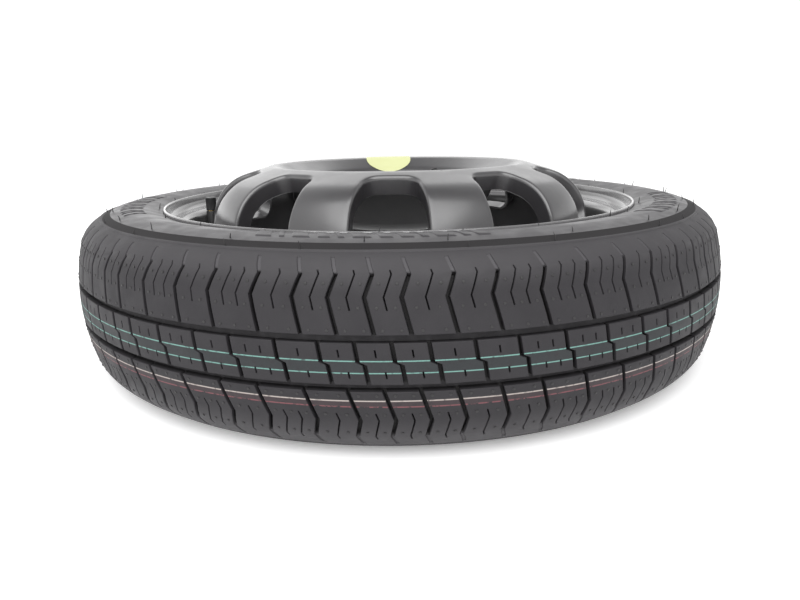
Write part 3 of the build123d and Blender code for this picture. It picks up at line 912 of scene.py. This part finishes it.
def build_valve():
    """The rubber body, a turned section with rounded corners, and the cap, whose side is ribbed by a wave in
    its radius: the square of half of one minus a cosine.
    """
    body = rounded_line(
        [
            (3.46, -5.2, 0.0),
            (7.7, -5.2, 1.2),
            (7.7, -2.3, 0.4),
            (5.65, -2.3, 0.4),
            (5.65, 0.12, 0.4),
            (7.3, 0.12, 0.8),
            (7.3, 4.2, 1.6),
            (5.9, 7.0, 1.6),
            (5.3, 19.9, 0.6),
            (3.46, 19.9, 0.0),
        ],
        4,
    )
    patches = [(turned(body + [0, VALVE_SEAT], even_turn(64), VALVE_CENTRE), True, True)]
    add_piece("valve_rubber_body", patches, VALVE_RUBBER, "wheel", "valve_body", 50)
    corner_steps = 4
    section = rounded_line(
        [
            (CAP_BORE, CAP_FOOT, 0.0),
            (CAP_RADIUS, CAP_FOOT, 0.4),
            (CAP_RADIUS, CAP_TOP, 0.9),
            (3.2, CAP_TOP, 0.8),
            (0.0, 33.3, 0.0),
        ],
        corner_steps,
    )
    side_rows = np.sort([*RIB_ENDS, RIB_MIDDLE])
    side = np.column_stack([np.full(len(side_rows), CAP_RADIUS), side_rows])
    section = np.insert(section, corner_steps + 2, side, axis=0)
    hollow_top, ribbed_from = 32.32, 4.8
    hollow = np.array([(0.0, hollow_top), (CAP_BORE, hollow_top), (CAP_BORE, CAP_FOOT)])
    ribbed = np.interp(section[:, 1], RIB_ENDS, [0, 1, 1, 0]) * (section[:, 0] > ribbed_from)
    cap = np.vstack([section, hollow]) + [0, VALVE_SEAT]
    turn = even_turn(144)
    wave = RIB_DEPTH * (0.5 - 0.5 * np.cos(RIB_COUNT * turn)) ** 2
    ribs = np.concatenate([ribbed, np.zeros(len(hollow))])[:, None] * wave
    grid = place(cap[:, :1] - ribs, turn[None, :], cap[:, 1:]) + [*VALVE_CENTRE, 0]
    add_piece("ribbed_cap", [(grid, False, True)], CAP_PLASTIC, "cap", "valve_cap", 50)


# Small marks on the tyre


def sidewall_height(radius):
    """Height of the upper sidewall at a radius, read from its section."""
    order = np.argsort(UPPER_SIDE[:, 0])
    return np.interp(radius, UPPER_SIDE[order, 0], UPPER_SIDE[order, 1])


def build_sidewall_marks():
    """Raised plain blocks on the sidewall in five groups, wide and narrow by turns. A block is a slanted
    patch over azimuth and radius, lifted except at its edges.
    """
    middle, tall, gap, lean = 243.0, 20.0, 4.5, 0.42
    groups, first_degrees = 5, -184
    widths = (12.0, 4.0, 12.0, 8.0, 4.0, 12.0, 8.0, 8.0, 4.0, 12.0, 4.0, 8.0)
    share = np.array([0, 0.07, 0.12, 0.5, 0.88, 0.93, 1]) - 0.5
    lift = np.array([-0.25, 0.5, 0.65, 0.65, 0.65, 0.5, -0.25])
    up = share[:, None] * tall
    height = sidewall_height(middle + up) + np.minimum(lift[:, None], lift[None, :])
    patches = []
    for group in range(groups):
        bearing = radians(first_degrees + 360 / groups * group)
        for width in widths:
            bearing += width / 2 / middle
            angle = bearing + (share[None, :] * width + lean * up) / middle
            patches.append((place(middle + up, angle, height), False, False))
            bearing += (width / 2 + gap) / middle
    add_piece("sidewall_marks", patches, RUBBER, "wheel", sharp_degrees=50, welded=False)


def build_whiskers():
    """Moulding whiskers on three rings of the sidewall: tapered tubes, rings of six points along an axis
    that leans more and more.
    """
    chance = np.random.default_rng(7)
    whisker_rings = (221.8, 257.8, 266.0)
    count, foot_depth, foot_size, tip_size = 22, 0.3, 0.45, 0.02
    stray, shortest, longest, most_lean = 0.3, 3.0, 6.5, 0.3
    turn = even_turn(6)
    circle = np.stack([np.cos(turn), np.sin(turn), 0 * turn], axis=-1)
    rise = np.linspace(0, 1, 5)[:, None]
    size = foot_size * (1 - 0.5 * rise)
    size[-1] = tip_size
    patches = []
    for ring in whisker_rings:
        bearings = (np.arange(count) + chance.uniform(-stray, stray, count)) * FULL_TURN / count
        lengths = chance.uniform(shortest, longest, count)
        leans = chance.uniform(-most_lean, most_lean, (count, 2))
        foot_height = sidewall_height(ring) - foot_depth
        for bearing, length, lean in zip(bearings, lengths, leans):
            foot = place(ring, bearing, foot_height)
            axis = foot + rise * length * np.array([0, 0, 1.0]) + rise**2 * length * np.array([*lean, 0])
            patches.append((axis[:, None, :] + size[:, :, None] * circle, False, True))
    add_piece("vent_whiskers", patches, VENT_RUBBER, "wheel", sharp_degrees=60, welded=False)


def build_stubs():
    """Cut-off vent stubs in three rows on each outer rib, half way between grooves and sipes. Each is a low
    round button: rings of eight points on the tread's tangent plane, lifted along its normal.
    """
    turn = even_turn(8)
    sizes = np.array([0.95, 0.95, 0.75, 0.02])
    lifts = np.array([-0.3, 0.2, 0.3, 0.26])
    stub_rows = (-46.5, -33.0, -20.0, 20.0, 33.0, 46.5)
    patches = []
    for height in stub_rows:
        radius, out_r, out_z = (float(value[0]) for value in tread_surface(np.array([height])))
        run = groove_run(height) / TYRE_RADIUS
        for start, length, shares in pitches():
            stops = (0, *shares, 1)
            for before, after in zip(stops, stops[1:]):
                bearing = start + run + (before + after) / 2 * length
                out = np.array([out_r * cos(bearing), out_r * sin(bearing), out_z])
                side = np.array([-sin(bearing), cos(bearing), 0.0])
                ring = np.cos(turn)[:, None] * side + np.sin(turn)[:, None] * np.cross(out, side)
                spot = place(radius, bearing, height) + lifts[:, None] * out
                patches.append((spot[:, None, :] + sizes[:, None, None] * ring[None], False, True))
    add_piece("vent_stubs", patches, VENT_RUBBER, "wheel", sharp_degrees=50, welded=False)


build_tyre()
build_rim()
build_disc()
build_welds()
build_sticker()
build_valve()
build_sidewall_marks()
build_whiskers()
build_stubs()

for node, material in (
    ("valve_stem", BRASS),
    ("valve_core_barrel", BRASS),
    ("valve_core_seal", VALVE_RUBBER),
    ("valve_core_pin", STEEL),
    ("valve_core_spring", STEEL),
    ("cap_seal", VALVE_RUBBER),
):
    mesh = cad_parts[node].data
    mesh.materials.clear()
    mesh.materials.append(material)


# Floor, light and camera


def put(name, data, spot, turn):
    """An object in the scene at a spot in metres, turned by the directions that its own axes take."""
    placed = bpy.data.objects.new(name, data)
    bpy.context.scene.collection.objects.link(placed)
    placed.matrix_world = Matrix.Translation(spot) @ Matrix(turn.tolist()).to_4x4()
    return placed


def build_floor():
    """A pale square floor that gives off a little light of its own."""
    reach = 4.0
    white = (0.97, 0.97, 0.97, 1)
    mesh = bpy.data.meshes.new("floor")
    corners = [(-reach, -reach, 0), (reach, -reach, 0), (reach, reach, 0), (-reach, reach, 0)]
    mesh.from_pydata(corners, [], [(0, 1, 2, 3)])
    glow = {"Emission_Color": white, "Emission_Strength": 0.2}
    mesh.materials.append(Finish("pale_floor", Roughness=0.9, Base_Color=white, **glow).material)
    floor = bpy.data.objects.new("floor", mesh)
    bpy.context.scene.collection.objects.link(floor)


def build_sky():
    """A soft sky, palest at its foot and to the left and dim overhead: three smooth steps multiplied."""
    world = bpy.data.worlds.new("soft_sky")
    bpy.context.scene.world = world
    world.use_nodes = True
    tree = world.node_tree
    direction = add_node(tree, "ShaderNodeTexCoord").outputs["Generated"]
    apart = add_node(tree, "ShaderNodeSeparateXYZ", {0: direction})
    strength = 1.0
    for axis, start, stop, first, last in (
        ("Z", 0.08, 0.36, 1.45, 0.88),
        ("Z", 0.70, 0.92, 1.0, 0.4),
        ("X", -0.80, 0.80, 1.2, 0.85),
    ):
        share = smooth_step(tree, apart.outputs[axis], start, stop, first, last)
        strength = add_node(tree, "ShaderNodeMath", {0: strength, 1: share}, operation="MULTIPLY").outputs[0]
    background = tree.nodes["Background"]
    background.inputs["Color"].default_value = (1, 1, 1, 1)
    tree.links.new(strength, background.inputs["Strength"])
    bpy.context.scene.view_settings.view_transform = "Standard"


def build_lamps():
    """Two soft lamps, each a rectangle with its own spot, size in metres and power, turned to the wheel."""
    aim = np.array([0.0, 0.0, 0.1])
    for name, spot, size, power in (
        ("back_lamp", (0.0, 2.2, 1.6), (3.2, 1.0), 7.0),
        ("front_lamp", (-0.1, -1.68, 2.25), (3.4, 3.5), 108.0),
    ):
        lamp = bpy.data.lights.new(name, "AREA")
        lamp.shape = "RECTANGLE"
        lamp.size, lamp.size_y = size
        lamp.energy = power
        look = aim - np.array(spot)
        back = -look / np.linalg.norm(look)
        right = np.cross([0, 0, 1.0], back)
        right /= np.linalg.norm(right)
        put(name, lamp, spot, np.column_stack([right, np.cross(back, right), back]))


def build_camera():
    """The photograph's camera: level turn, tilt and roll give its right, up and back directions."""
    spot = (0.0016, -0.6432, 0.2020)
    pitch, roll, yaw = 0.2628, -0.0179, -0.0029
    focal_pixels, picture_width_pixels = 651.9, 800
    right = np.array([cos(yaw), -sin(yaw), 0])
    onward = np.array([sin(yaw) * cos(pitch), cos(yaw) * cos(pitch), -sin(pitch)])
    up = np.array([sin(yaw) * sin(pitch), cos(yaw) * sin(pitch), cos(pitch)])
    turn = np.column_stack([cos(roll) * right + sin(roll) * up, cos(roll) * up - sin(roll) * right, -onward])
    data = bpy.data.cameras.new("photo_view")
    data.sensor_width = 36.0
    data.lens = focal_pixels / picture_width_pixels * data.sensor_width
    bpy.context.scene.camera = put("photo_view", data, spot, turn)


build_floor()
build_sky()
build_lamps()
build_camera()
